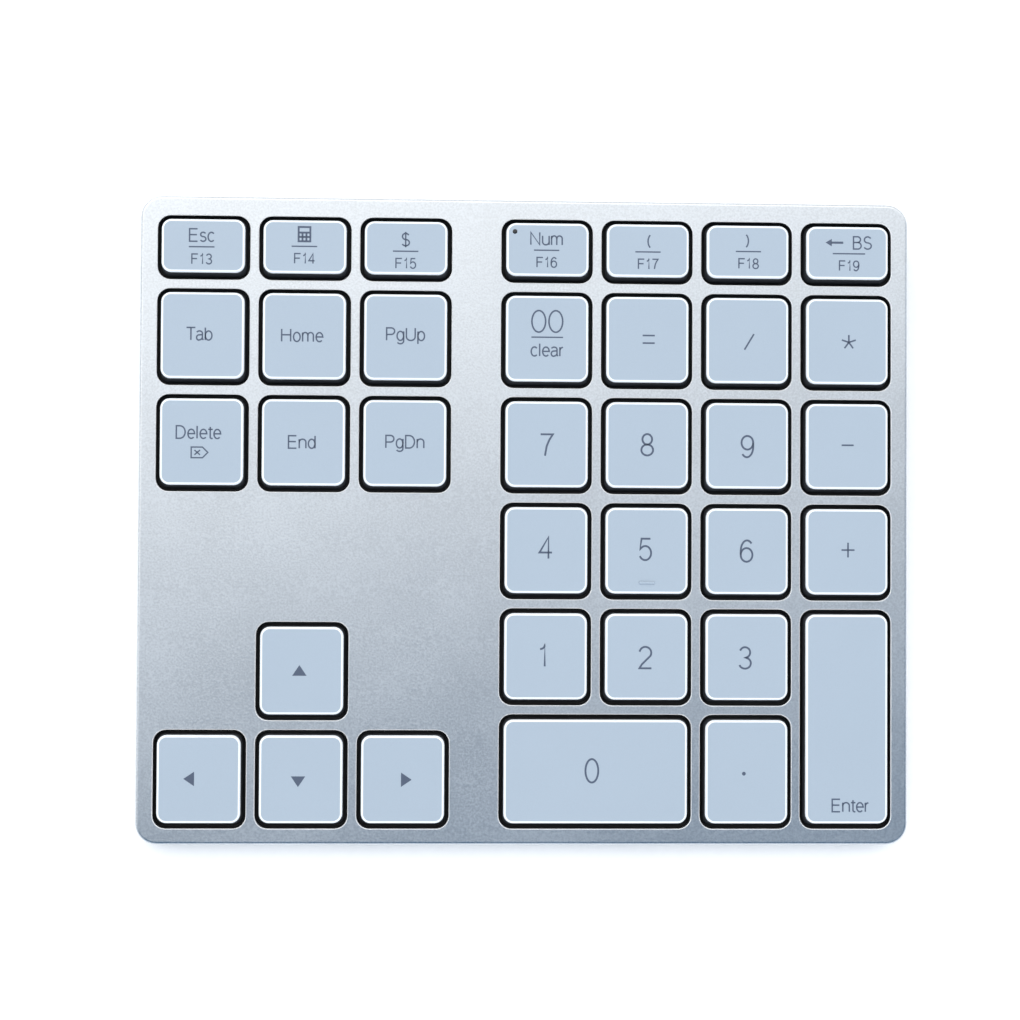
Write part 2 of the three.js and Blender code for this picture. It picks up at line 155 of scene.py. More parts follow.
def surface(name, colour, roughness, metallic=0.0, grain=0.3, tint=0.04, spread=0.06, bump=0.1):
    """A Principled material whose colour, roughness and relief vary with a fine grain and broad patches.
    grain is the grain's size in millimetres, tint how far the colour strays, and spread the same for
    roughness."""
    made = bpy.data.materials.new(name)
    made.use_nodes = True
    tree = made.node_tree
    where = tree.nodes.new("ShaderNodeTexCoord").outputs["Object"]
    noise = lambda size, detail: add_node(tree, "ShaderNodeTexNoise", {
        "Vector": where, "Scale": 1 / (size * MM), "Detail": detail}).outputs["Fac"]
    fine = noise(grain, 3.0)
    mixed = add_node(tree, "ShaderNodeMix", {"Factor": 0.25, "A": fine, "B": noise(PATCH_SIZE, 2.0)})
    pattern = mixed.outputs["Result"]

    ramp = add_node(tree, "ShaderNodeValToRGB", {"Fac": pattern})
    dark, light = ramp.color_ramp.elements
    dark.position = 0.38
    dark.color = (*[c * (1 - tint) for c in colour], 1)
    light.position = 0.62
    light.color = (*[min(1, c * (1 + tint)) for c in colour], 1)

    rough = add_node(tree, "ShaderNodeMapRange", {
        "Value": pattern, "From Min": 0.3, "From Max": 0.7,
        "To Min": max(0.02, roughness - spread), "To Max": roughness + spread})
    relief = add_node(tree, "ShaderNodeBump", {
        "Height": fine, "Strength": bump, "Distance": RELIEF_DEPTH * MM})
    connect(tree, tree.nodes["Principled BSDF"], {
        "Base Color": ramp.outputs["Color"], "Metallic": metallic, "Roughness": rough.outputs["Result"],
        "Normal": relief.outputs["Normal"]})
    return made


ALUMINIUM = surface("bead_blasted_aluminium", (0.655, 0.69, 0.725), 0.34, 1.0, grain=0.38, tint=0.085,
                    bump=0.25)
# Near-white, barely metallic colour of the bevel round each key opening: painted highlight for the bright
# line along its edge
BEVEL_PAINTED_HIGHLIGHT = surface("opening_bevel_painted_highlight", (0.93, 0.94, 0.95), 0.25, 0.2, grain=0.2, tint=0.02, spread=0.04)
KEY_FACE = surface("keycap_face", (0.352, 0.422, 0.500), 0.40, grain=0.16, tint=0.02, spread=0.05, bump=0.12)
# White rim round a keycap's face: painted highlight, a lighter copy of the keycap's plastic standing in for
# light caught by the rounded edge
RIM_PAINTED_HIGHLIGHT = surface("keycap_rim_painted_highlight", (0.84, 0.88, 0.91), 0.30, grain=0.16, tint=0.01, spread=0.04, bump=0.05)
# Near-black skirt and underside of a keycap: painted shade, the dark of the gap round each key painted onto
# the keycap's own plastic
SKIRT_PAINTED_SHADE = surface("keycap_skirt_painted_shade", (0.035, 0.038, 0.044), 0.55, grain=0.2, tint=0.15)
INK = surface("legend_ink", (0.066, 0.089, 0.140), 0.5, grain=0.1, tint=0.08)
COVER = surface("cover_plastic", (0.60, 0.63, 0.66), 0.55, grain=0.5, tint=0.03, spread=0.05, bump=0.5)
BLACK = surface("black_plastic", (0.012, 0.013, 0.015), 0.5, tint=0.2, bump=0.3)
SILICONE = surface("black_silicone", (0.010, 0.011, 0.013), 0.6, grain=0.4, tint=0.2, spread=0.08)
FILM = surface("membrane_film", (0.008, 0.009, 0.011), 0.3, grain=0.8, tint=0.2, spread=0.05, bump=0.05)
STEEL = surface("brushed_steel", (0.48, 0.49, 0.50), 0.35, 1.0, grain=0.25, tint=0.06, spread=0.08)
BOARD = surface("circuit_board", (0.02, 0.10, 0.05), 0.4, grain=0.6, tint=0.15)
FOIL = surface("battery_foil", (0.55, 0.56, 0.58), 0.35, 0.9, grain=1.2, tint=0.06, spread=0.1, bump=0.4)
RUBBER = surface("foot_rubber", (0.022, 0.023, 0.025), 0.8, grain=0.35, tint=0.2, bump=0.6)
LENS = surface("lens", (0.01, 0.012, 0.015), 0.12, tint=0.1, spread=0.03, bump=0.02)
LED = surface("led", (0.75, 0.80, 0.70), 0.3, tint=0.03, spread=0.05)
GOLD = surface("contact_gold", (0.80, 0.60, 0.26), 0.25, 1.0, grain=0.2, tint=0.05, spread=0.05)
TAPE = surface("polyimide_tape", (0.55, 0.30, 0.05), 0.3, grain=0.5, tint=0.05, spread=0.05)


# ---- mesh tools ----
SHARP = math.radians(35)  # edges that turn by more than this are sharp


def outline(width, depth, radius, inset=0.0, steps=6):
    """The corners of a rounded rectangle, anticlockwise, shrunk by inset."""
    radius = max(0.05, radius - inset)
    x, y = width / 2 - inset - radius, depth / 2 - inset - radius
    points = []
    for n, (cx, cy) in enumerate([(x, -y), (x, y), (-x, y), (-x, -y)]):
        for k in range(steps + 1):
            angle = math.radians(-90 + 90 * n + 90 * k / steps)
            points.append((cx + radius * math.cos(angle), cy + radius * math.sin(angle)))
    return points


def circle(radius, x=0.0, y=0.0, sides=32):
    turns = [2 * math.pi * k / sides for k in range(sides)]
    return [(x + radius * math.cos(a), y + radius * math.sin(a)) for a in turns]


def shifted(points, x, y):
    return [(px + x, py + y) for px, py in points]


def loop(bm, points, z, place):
    return [bm.verts.new(place(x, y, z)) for x, y in points]


def bridge(bm, first, second, material=0, smooth=True):
    """A band of quads between two loops of as many points."""
    for k in range(len(first)):
        n = (k + 1) % len(first)
        face = bm.faces.new((first[k], first[n], second[n], second[k]))
        face.material_index = material
        face.smooth = smooth


def chain(bm, rings, material=0):
    """Bridges each loop to the next."""
    for first, second in zip(rings, rings[1:]):
        bridge(bm, first, second, material)


def cap(bm, ring, material=0):
    bm.faces.new(ring).material_index = material


def sheet_with_holes(bm, rings, up, material=0):
    """Fills the flat area between an outer loop and the hole loops inside it."""
    edges = [bm.edges.get(pair) for ring in rings for pair in zip(ring, [*ring[1:], ring[0]])]
    made = bmesh.ops.triangle_fill(bm, use_beauty=True, edges=edges, normal=up)
    for item in made["geom"]:
        if isinstance(item, bmesh.types.BMFace):
            item.material_index = material


def stack(bm, layers, place, material=0, close=(True, True)):
    """Joins a list of (outline points, height) into a closed or open skin."""
    rings = [loop(bm, points, z, place) for points, z in layers]
    chain(bm, rings, material)
    if close[0]:
        cap(bm, rings[0], material)
    if close[1]:
        cap(bm, rings[-1], material)
    return rings


def sharpen(mesh):
    """Marks the edges that turn by more than SHARP. Faces that were flat stay flat."""
    smooth = [face.use_smooth for face in mesh.polygons]
    mesh.set_sharp_from_angle(angle=SHARP)
    mesh.polygons.foreach_set("use_smooth", smooth)


def add_object(name, data):
    made = bpy.data.objects.new(name, data)
    bpy.context.scene.collection.objects.link(made)
    return made


def piece(name, bm, materials, flat_shading=False):
    """The finished mesh as an object, sharp at its corners, with normals weighted to its flat faces."""
    bmesh.ops.recalc_face_normals(bm, faces=bm.faces)
    mesh = bpy.data.meshes.new(name)
    bm.to_mesh(mesh)
    bm.free()
    sharpen(mesh)
    for material in materials:
        mesh.materials.append(material)
    made = add_object(name, mesh)
    if not flat_shading:
        weighted = made.modifiers.new("weighted_normals", "WEIGHTED_NORMAL")
        weighted.weight = 80
        weighted.keep_sharp = True
    return made


def stacked(name, layers, place, *materials, flat_shading=False):
    """A piece that is one closed stack of outlines."""
    bm = bmesh.new()
    stack(bm, layers, place)
    return piece(name, bm, materials, flat_shading)


def lathe(profile, sides=32):
    """The layers of a round piece, from (radius, height) pairs."""
    return [(circle(radius, sides=sides), z) for radius, z in profile]


def settle(made, body, slot, *nodes):
    """Ties a finished piece to its body and hides the CAD nodes that it stands for. Its look, slot, is not
    used.
    """
    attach(made, body)
    if nodes:
        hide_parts(*nodes)


def quarter(radius, steps=4):
    """(inset, drop) along a quarter round from the side to the top face."""
    turns = [math.pi / 2 * k / steps for k in range(steps + 1)]
    return [(radius * (1 - math.cos(a)), radius * (1 - math.sin(a))) for a in turns]


# ---- case ----
def cutter(name, points, depth_low, depth_high):
    """A prism along Y for cutting the rear wall. Points are (x, z) above the table."""
    place = lambda x, z, y: on_table(x, y, z)
    return stacked(name, [(points, depth_low), (points, depth_high)], place, flat_shading=True)


def measure(node):
    """The middle and the size of a node's CAD box."""
    low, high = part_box(node)
    return (low + high) / 2 / MM, (high - low) / MM


REAR_PLAY = 0.6  # how much wider and taller a rear opening is than what stands in it
PORT_CORNER = 1.9
SLOT_CORNER = 0.6
KNOB_TRAVEL = 2.0
BUTTON_HOLE = 1.7


def rear_cutters():
    """The prisms that cut the socket's port, the knob's slot and the button's hole."""
    usb, usb_size = measure("usb_port_shell")
    body, _ = measure("power_switch_body")
    knob, knob_size = measure("power_switch_knob")
    button, _ = measure("pairing_button")
    port = outline(usb_size.x + REAR_PLAY, usb_size.z + REAR_PLAY, PORT_CORNER, steps=8)
    slot = outline(knob_size.x + KNOB_TRAVEL + REAR_PLAY, knob_size.z + REAR_PLAY, SLOT_CORNER)
    shapes = {"cut_port": shifted(port, usb.x, usb.z), "cut_slot": shifted(slot, body.x, knob.z),
              "cut_hole": circle(BUTTON_HOLE, button.x, button.z)}
    low, high = CASE_DEPTH / 2 - 2 * CASE_WALL, CASE_DEPTH / 2 + CASE_WALL
    return [cutter(name, points, low, high) for name, points in shapes.items()]


def apply_modifiers(made):
    """Replaces an object's mesh by what its modifiers make of it."""
    bpy.context.view_layer.update()
    evaluated = made.evaluated_get(bpy.context.evaluated_depsgraph_get())
    mesh = bpy.data.meshes.new_from_object(evaluated)
    made.modifiers.clear()
    made.data = mesh
    sharpen(mesh)


def make_case():
    """A sloping plate with its rim turned down to the table, and an opening for each key."""
    bm = bmesh.new()
    edge = lambda inset: outline(CASE_WIDTH, PLATE_DEPTH, CASE_CORNER, inset, steps=8)
    table_edge = lambda inset: outline(CASE_WIDTH, CASE_DEPTH, CASE_CORNER, inset, steps=8)
    rounding = [(0, CASE_EDGE + 2 * CASE_BAND), *quarter(CASE_EDGE, 5), (CASE_EDGE + CASE_BAND, 0)]
    rim = [loop(bm, edge(inset), -drop, on_deck) for inset, drop in rounding]
    foot = [loop(bm, table_edge(0), case_low.z + CASE_FOOT, on_table),
            loop(bm, table_edge(CASE_FOOT), case_low.z, on_table),
            loop(bm, table_edge(CASE_WALL), case_low.z, on_table)]
    under = loop(bm, edge(CASE_WALL), -CASE_WALL, on_deck)
    chain(bm, [under, *reversed(foot), *rim])
    tops, bottoms = [rim[-1]], [under]
    for x, y, width, depth in KEYS.values():
        wide, deep = width + 2 * OPENING_GAP, depth + 2 * OPENING_GAP
        place = deck_at(x, y)
        mouth = outline(wide, deep, OPENING_CORNER, -OPENING_BEVEL)
        throat = outline(wide, deep, OPENING_CORNER)
        top = loop(bm, mouth, 0, place)
        neck = loop(bm, throat, -BEVEL_DEPTH, place)
        bottom = loop(bm, throat, -CASE_WALL, place)
        # the bevel round the opening gets the painted highlight
        bridge(bm, top, neck, material=1, smooth=False)
        bridge(bm, neck, bottom)
        tops.append(top)
        bottoms.append(bottom)
    sheet_with_holes(bm, tops, -DOWN)
    sheet_with_holes(bm, bottoms, DOWN)
    case = piece("case_shell", bm, [ALUMINIUM, BEVEL_PAINTED_HIGHLIGHT], flat_shading=True)
    cutters = rear_cutters()
    for tool in cutters:
        cut = case.modifiers.new(tool.name, "BOOLEAN")
        cut.object = tool
        cut.solver = "EXACT"
        case.modifiers.move(len(case.modifiers) - 1, 0)
    apply_modifiers(case)
    for tool in cutters:
        bpy.data.objects.remove(tool)
    settle(case, "case", "case_aluminium", "top_case")


# ---- keycaps ----
def make_keycap(name):
    """A pale face in a rounded rim whose white is a painted highlight, on a skirt whose near-black is
    painted shade.
    """
    x, y, width, depth = KEYS[name]
    place = deck_at(x, y)
    bm = bmesh.new()
    side = lambda inset: outline(width, depth, KEY_CORNER, inset)
    ceiling = loop(bm, side(KEY_WALL + HOLLOW_DRAFT), KEY_CEILING, place)
    skirt = [loop(bm, side(KEY_WALL), KEY_BOTTOM, place),
             loop(bm, side(SKIRT_CHAMFER), KEY_BOTTOM, place),
             loop(bm, side(0), KEY_BOTTOM + SKIRT_CHAMFER, place)]
    rim = []
    for inset, drop in [(0, KEY_CAP), *quarter(KEY_EDGE)]:
        cap_side = outline(width, depth - FRONT_LEAN, CAP_CORNER, KEY_DRAFT + inset)
        rim.append(loop(bm, shifted(cap_side, 0, FRONT_LEAN / 2), KEY_TOP - drop, place))
    # The skirt and the underside get the painted shade; the rim of the top layer gets the painted highlight
    chain(bm, [ceiling, *skirt, rim[0]], 2)
    chain(bm, rim, 1)
    if name == "num":
        light_hole = deck_at(x - LENS_LEFT, y + LENS_UP)
        hole = [loop(bm, circle(LENS_HOLE), z, light_hole) for z in (KEY_CEILING, KEY_TOP)]
        bridge(bm, *hole, 2)
        sheet_with_holes(bm, [ceiling, hole[0]], DOWN, 2)
        sheet_with_holes(bm, [rim[-1], hole[1]], -DOWN, 0)
    else:
        cap(bm, ceiling, 2)
        cap(bm, rim[-1], 0)
    if name == "5":
        add_homing_bar(bm, place)
    keycap = piece(f"keycap_{name}", bm, [KEY_FACE, RIM_PAINTED_HIGHLIGHT, SKIRT_PAINTED_SHADE])
    settle(keycap, f"key_{name}", "keycap_plastic", f"key_{name}")


def make_lens():
    """The light pipe of the number lock's lamp, crowned a little at the top."""
    x, y, _, _ = KEYS["num"]
    radius = LENS_HOLE - LENS_FIT
    crown = [(radius, KEY_TOP - 0.02), (0.8 * radius, KEY_TOP + 0.01), (0.4 * radius, KEY_TOP + 0.02)]
    profile = [(radius, KEY_CEILING), *crown]
    lens = stacked("num_light_pipe", lathe(profile), deck_at(x - LENS_LEFT, y + LENS_UP), LENS)
    settle(lens, "key_num", "lens_plastic", "num_led_lens")


HOMING_LENGTH = 3.0  # the bar that a finger feels on the 5
HOMING_DEPTH = 0.5
HOMING_CORNER = 0.24
HOMING_DOWN = 5.9  # its place, from the key's middle
HOMING_PROFILE = [(0, -0.05), (0, 0.15), (0.06, 0.24), (0.15, 0.28)]  # inset, height above the key


def add_homing_bar(bm, place):
    bar = lambda inset: outline(HOMING_LENGTH, HOMING_DEPTH, HOMING_CORNER, inset)
    layers = [(shifted(bar(inset), 0, -HOMING_DOWN), KEY_TOP + rise) for inset, rise in HOMING_PROFILE]
    stack(bm, layers, place)


# ---- legends: a light sans-serif drawn with strokes, capital height 1 ----
def arc(cx, cy, rx, ry, start, end, steps=None):
    steps = steps or max(3, round(abs(end - start) / 15))
    turns = [math.radians(start + (end - start) * k / steps) for k in range(steps + 1)]
    return [(cx + rx * math.cos(a), cy + ry * math.sin(a)) for a in turns]


def turned(strokes, cx, cy):
    return [[(2 * cx - x, 2 * cy - y) for x, y in stroke] for stroke in strokes]


SIX = [arc(0.31, 0.32, 0.25, 0.32, 0, 360, 24),
       [(0.06, 0.34), *arc(0.33, 0.50, 0.27, 0.50, 180, 45)]]
bowl = lambda start, end: arc(0.32, 0.365, 0.24, 0.365, start, end)
LOWER_O = [bowl(0, 360)]
STEM = [(0.10, 0), (0.10, 1)]
LOW_STEM = [(0.08, 0), (0.08, 0.73)]
S_CURVE = [*arc(0.35, 0.755, 0.24, 0.245, 25, 270), *arc(0.35, 0.255, 0.27, 0.255, 90, -155)]

GLYPHS = {  # advance, strokes
    "0": (0.62, [arc(0.31, 0.5, 0.25, 0.5, 0, 360, 28)]),
    "1": (0.62, [[(0.34, 0), (0.34, 1), *arc(0.14, 1.0, 0.20, 0.20, 0, -90)]]),
    "2": (0.62, [[*arc(0.31, 0.72, 0.25, 0.28, 170, -30), (0.16, 0.18), (0.06, 0), (0.57, 0)]]),
    "3": (0.62, [[*arc(0.30, 0.755, 0.22, 0.245, 160, -90), *arc(0.30, 0.255, 0.25, 0.255, 90, -160)]]),
    "4": (0.62, [[(0.43, 0), (0.43, 1), (0.05, 0.28), (0.58, 0.28)]]),
    "5": (0.62, [[(0.53, 1), (0.15, 1), (0.09, 0.50), *arc(0.31, 0.33, 0.25, 0.33, 135, -155)]]),
    "6": (0.62, SIX),
    "7": (0.62, [[(0.05, 1), (0.57, 1), (0.42, 0.74), (0.31, 0.45), (0.24, 0)]]),
    "8": (0.62, [arc(0.31, 0.755, 0.205, 0.245, 0, 360, 24), arc(0.31, 0.255, 0.25, 0.255, 0, 360, 24)]),
    "9": (0.62, turned(SIX, 0.31, 0.5)),
    "B": (0.80, [[(0.40, 0.53), (0.10, 0.53)],
                 [(0.10, 0.53), (0.10, 1), *arc(0.40, 0.765, 0.22, 0.235, 90, -90),
                  *arc(0.42, 0.265, 0.25, 0.265, 90, -90), (0.10, 0), (0.10, 0.53)]]),
    "D": (0.86, [[*STEM, *arc(0.36, 0.5, 0.38, 0.5, 90, -90), (0.10, 0)]]),
    "E": (0.80, [[(0.68, 0), (0.10, 0), (0.10, 1), (0.67, 1)], [(0.10, 0.53), (0.63, 0.53)]]),
    "F": (0.74, [[*STEM, (0.65, 1)], [(0.10, 0.53), (0.58, 0.53)]]),
    "H": (0.88, [STEM, [(0.75, 0), (0.75, 1)], [(0.10, 0.53), (0.75, 0.53)]]),
    "N": (0.88, [[*STEM, (0.75, 0), (0.75, 1)]]),
    "P": (0.78, [[*STEM, *arc(0.43, 0.735, 0.25, 0.265, 90, -90), (0.10, 0.47)]]),
    "S": (0.74, [S_CURVE]),
    "T": (0.68, [[(0.02, 1), (0.66, 1)], [(0.34, 1), (0.34, 0)]]),
    "U": (0.86, [[(0.10, 1), *arc(0.42, 0.31, 0.32, 0.31, 180, 360), (0.74, 1)]]),
    "a": (0.62, [[*arc(0.28, 0.54, 0.21, 0.19, 155, 0), (0.49, 0.12), (0.56, 0)],
                 [(0.49, 0.43), *arc(0.24, 0.20, 0.17, 0.21, 90, 270), (0.40, 0.05), (0.49, 0.17)]]),
    "b": (0.66, [[(0.08, 0), (0.08, 1)], *LOWER_O]),
    "c": (0.60, [bowl(45, 315)]),
    "d": (0.66, [[(0.56, 0), (0.56, 1)], *LOWER_O]),
    "e": (0.64, [[(0.08, 0.38), (0.56, 0.38), *bowl(8, 315)]]),
    "g": (0.66, [LOWER_O[0], [(0.56, 0.73), *arc(0.32, -0.05, 0.24, 0.22, 0, -150)]]),
    "l": (0.24, [STEM]),
    "m": (0.98, [LOW_STEM, [(0.08, 0.48), *arc(0.27, 0.50, 0.19, 0.23, 170, 0), (0.46, 0)],
                 [(0.46, 0.50), *arc(0.66, 0.50, 0.20, 0.23, 170, 0), (0.86, 0)]]),
    "n": (0.66, [LOW_STEM, [(0.08, 0.45), *arc(0.32, 0.48, 0.24, 0.25, 170, 0), (0.56, 0)]]),
    "o": (0.66, LOWER_O),
    "p": (0.66, [[(0.08, -0.27), (0.08, 0.73)], *LOWER_O]),
    "r": (0.40, [LOW_STEM, [(0.08, 0.40), *arc(0.33, 0.45, 0.25, 0.27, 170, 95)]]),
    "s": (0.56, [[*arc(0.28, 0.555, 0.18, 0.175, 25, 270), *arc(0.28, 0.19, 0.20, 0.19, 90, -155)]]),
    "t": (0.36, [[(0.17, 0.93), *arc(0.29, 0.12, 0.12, 0.12, 180, 270), (0.35, 0)],
                 [(0.02, 0.73), (0.35, 0.73)]]),
    "u": (0.66, [[(0.08, 0.73), *arc(0.32, 0.25, 0.24, 0.25, 180, 350), (0.56, 0.28)],
                 [(0.56, 0.73), (0.56, 0)]]),
    "$": (0.70, [S_CURVE, [(0.35, -0.12), (0.35, 1.12)]]),
    "(": (0.30, [arc(0.60, 0.42, 0.45, 0.66, 130, 230)]),
    ")": (0.30, [arc(-0.30, 0.42, 0.45, 0.66, 50, -50)]),
}


def ribbon(bm, points, width, place):
    """One printed stroke: a thin closed strip along the points, mitred at its bends."""
    closed = math.dist(points[0], points[-1]) < 1e-6
    points = [p for n, p in enumerate(points) if n == 0 or math.dist(p, points[n - 1]) > 1e-6]
    if closed:
        points = points[:-1]
    count = len(points)
    sides = []
    for n, (x, y) in enumerate(points):
        before = points[n - 1] if n or closed else None
        after = points[(n + 1) % count] if n < count - 1 or closed else None
        ways = [Vector((x, y)) - Vector(before)] if before else []
        ways += [Vector(after) - Vector((x, y))] if after else []
        normals = [Vector((-w.y, w.x)).normalized() for w in ways]
        across = sum(normals, Vector((0, 0))).normalized()
        reach = width / 2 / max(0.5, across.dot(normals[0]))
        sides.append([(x + s * reach * across.x, y + s * reach * across.y) for s in (1, -1)])
    top, low = KEY_TOP + LEGEND_RISE, KEY_TOP - LEGEND_SINK
    corners = [[bm.verts.new(place(*side[k], z)) for k, z in ((0, top), (1, top), (1, low), (0, low))]
               for side in sides]
    for n in range(count if closed else count - 1):
        here, there = corners[n], corners[(n + 1) % count]
        for k in range(4):
            bm.faces.new((here[k], here[(k + 1) % 4], there[(k + 1) % 4], there[k]))
    if not closed:
        bm.faces.new(corners[0])
        bm.faces.new(corners[-1])


def solid_shape(bm, points, place):
    stack(bm, [(points, KEY_TOP - LEGEND_SINK), (points, KEY_TOP + LEGEND_RISE)], place)


def write(bm, place, text, x, y, height, weight=STROKE, stretch=LETTER_WIDTH):
    """Text centred on a point, with its capitals centred on that height."""
    wide = stretch * height
    pen = x - sum(GLYPHS[letter][0] for letter in text) * wide / 2
    for letter in text:
        advance, strokes = GLYPHS[letter]
        for stroke in strokes:
            line = [(pen + px * wide, y + (py - 0.5) * height) for px, py in stroke]
            ribbon(bm, line, weight, place)
        pen += advance * wide


def draw_lines(bm, place, lines, x, y, weight=STROKE):
    for line in lines:
        ribbon(bm, shifted(line, x, y), weight, place)


WORD = 2.35  # capital height of a word
SMALL = 1.85  # of the F-key names
WORD_UP = 0.4  # how far a lone word is above its key's middle
DIGIT = 4.05  # height of a digit
WIDE_DIGIT = 4.4  # of the one on the wide key
PAIR_DIGIT = 4.1  # of the two on the 00 key
DOT = 0.36  # radius of the decimal point
ENTER_UP = 3.4  # from the front edge of the Enter to its word
DIVIDER = 4.8  # length of the line between two legends
LONG_DIVIDER = 6.2  # of the one on the backspace
FINE = 0.9 * STROKE
BOLD = 1.3 * STROKE
CALCULATOR = [[(-1.1, -1.35), (1.1, -1.35), (1.1, 1.35), (-1.1, 1.35), (-1.1, -1.35)],
              [(-1.1, 0.3), (1.1, 0.3)], [(-0.37, -1.35), (-0.37, 0.3)], [(0.37, -1.35), (0.37, 0.3)],
              [(-1.1, -0.52), (1.1, -0.52)]]
ERASE = [[(-1.5, 1.0), (0.6, 1.0), (1.6, 0), (0.6, -1.0), (-1.5, -1.0), (-1.5, 1.0)],
         [(-0.9, 0.45), (0.15, -0.45)], [(-0.9, -0.45), (0.15, 0.45)]]
SYMBOLS = {
    "equals": [[(-1.15, 0.72), (1.15, 0.72)], [(-1.15, -0.72), (1.15, -0.72)]],
    "divide": [[(-0.9, -1.5), (0.9, 1.5)]],
    "multiply": [[(0, 0), (1.4 * math.cos(a), 1.4 * math.sin(a))]
                 for a in (math.radians(90 + 72 * k) for k in range(5))],
    "minus": [[(-1.15, 0), (1.15, 0)]],
    "plus": [[(-1.25, 0), (1.25, 0)], [(0, -1.4), (0, 1.4)]],
}
BACK_SHAFT = [[(-3.4, 0), (-1.1, 0)]]
BACK_HEAD = [(-4.5, 0), (-3.3, -0.7), (-3.3, 0.7)]
ZERO_RULE = [[(-3.0, 0), (3.0, 0)]]
WORDS = {"tab": "Tab", "home": "Home", "page_up": "PgUp", "end": "End", "page_down": "PgDn"}
FUNCTIONS = {"esc": ("Esc", "F13"), "calculator": (None, "F14"), "currency": ("$", "F15"),
             "num": ("Num", "F16"), "paren_left": ("(", "F17"), "paren_right": (")", "F18"),
             "backspace": (None, "F19")}
ARROWS = {"arrow_up": 90, "arrow_left": 180, "arrow_down": 270, "arrow_right": 0}
# Prints that aren't in the middle of their keycap, and how far they are from it
OFF_CENTRE = {"esc": (-0.3, -0.2), "calculator": (-0.1, 0.1), "currency": (-0.1, -0.6), "num": (-0.2, -0.1),
              "paren_left": (0, -0.2), "paren_right": (0.1, 0.1), "backspace": (0.3, -0.1), "tab": (-0.5, 0),
              "home": (-0.4, -0.1), "page_up": (0, 0.3), "delete": (-0.6, -0.2), "end": (-0.3, -0.2),
              "double_zero": (0, 0.1), "equals": (0.2, 0.2), "divide": (0.3, -0.1), "multiply": (0.3, 0),
              "8": (0, 0.2), "minus": (0.1, 0.4), "4": (-0.1, 0.6), "5": (-0.3, 0.4), "6": (-0.1, 0.2),
              "plus": (0.2, 0.5), "1": (-0.3, 0.3), "2": (-0.2, 0), "3": (-0.3, 0), "enter": (0, 0.5),
              "0": (-0.7, 0.3), "decimal": (-0.5, 0.2), "arrow_up": (-0.4, 0.2),
              "arrow_left": (-1.8, 0.2), "arrow_down": (-0.5, -0.3), "arrow_right": (0.7, 0.1)}


def function_legend(bm, place, name):
    """A word or a sign, a line under it, and the name of the function key."""
    upper, lower = FUNCTIONS[name]
    name_down, line_up, word_up, calculator_up, back_up = 2.2, 0.1, 2.3, 2.4, 2.2
    write(bm, place, lower, 0, -name_down, SMALL, FINE)
    half = LONG_DIVIDER / 2 if name == "backspace" else DIVIDER / 2
    draw_lines(bm, place, [[(-half, 0), (half, 0)]], 0, line_up, FINE)
    if upper:
        write(bm, place, upper, 0, word_up, WORD)
    elif name == "calculator":
        draw_lines(bm, place, CALCULATOR, 0, calculator_up, BOLD)
    else:
        write(bm, place, "BS", 2.6, back_up, WORD)
        draw_lines(bm, place, BACK_SHAFT, 0, back_up, 1.5 * STROKE)
        solid_shape(bm, shifted(BACK_HEAD, 0, back_up), place)


def triangle(angle, reach=1.0, half=1.35):
    """An arrow head that points along the angle."""
    turn = math.radians(angle)
    points = [(reach, 0), (-reach, half), (-reach, -half)]
    return [(x * math.cos(turn) - y * math.sin(turn), x * math.sin(turn) + y * math.cos(turn))
            for x, y in points]


def make_legend(name):
    x, y, _, depth = KEYS[name]
    right, up = OFF_CENTRE.get(name, (0, 0))
    place = deck_at(x + right, y + up)
    bm = bmesh.new()
    if name in FUNCTIONS:
        function_legend(bm, place, name)
    elif name in WORDS:
        write(bm, place, WORDS[name], 0, WORD_UP, WORD)
    elif name in ARROWS:
        solid_shape(bm, triangle(ARROWS[name]), place)
    elif name in SYMBOLS:
        draw_lines(bm, place, SYMBOLS[name], 0, 0, 1.1 * STROKE)
    elif name == "double_zero":
        write(bm, place, "00", 0, 3.3, PAIR_DIGIT, 1.1 * STROKE, stretch=1.27)
        draw_lines(bm, place, ZERO_RULE, 0, 0.3, FINE)
        write(bm, place, "clear", 0, -2.1, WORD)
    elif name == "delete":
        write(bm, place, "Delete", 0, 2.1, WORD)
        draw_lines(bm, place, ERASE, 0.2, -1.7, FINE)
    elif name == "enter":
        write(bm, place, "Enter", 0.7, ENTER_UP - depth / 2, WORD)
    elif name == "decimal":
        solid_shape(bm, circle(DOT, 0, -0.4, 20), place)
    else:
        write(bm, place, name, 0, 0, WIDE_DIGIT if name == "0" else DIGIT, BOLD)
    legend = piece(f"legend_{name}", bm, [INK], flat_shading=True)
    settle(legend, f"key_{name}", "legend_print")


# ---- domes and scissor links under the keys ----
def under_key(made, slot):
    """Fixes a piece to the case and gives it a mesh of its own."""
    settle(made, "case", slot)
    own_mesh(made)


def make_dome(name):
    """A hollow silicone dome with a flared foot and a dimpled top."""
    x, y, _, _ = KEYS[name]
    base = SHEET_TOP + 0.01
    inside = [(1.0, -1.0), (1.25, -1.15), (1.9, -2.2), (2.3, -2.9), (2.4, base)]
    foot = [(3.1, base), (3.0, -3.1), (2.85, -2.95)]
    wall = [(2.6, -2.4), (2.1, -1.2), (1.75, -0.5), (1.65, 0.1), (1.55, 0.24), (1.35, 0.3)]
    dimple = [(0.9, 0.3), (0.75, 0.2)]
    profile = inside + foot + wall + dimple
    dome = stacked(f"dome_{name}", lathe(profile, 24), deck_at(x, y), SILICONE)
    under_key(dome, "dome_silicone")


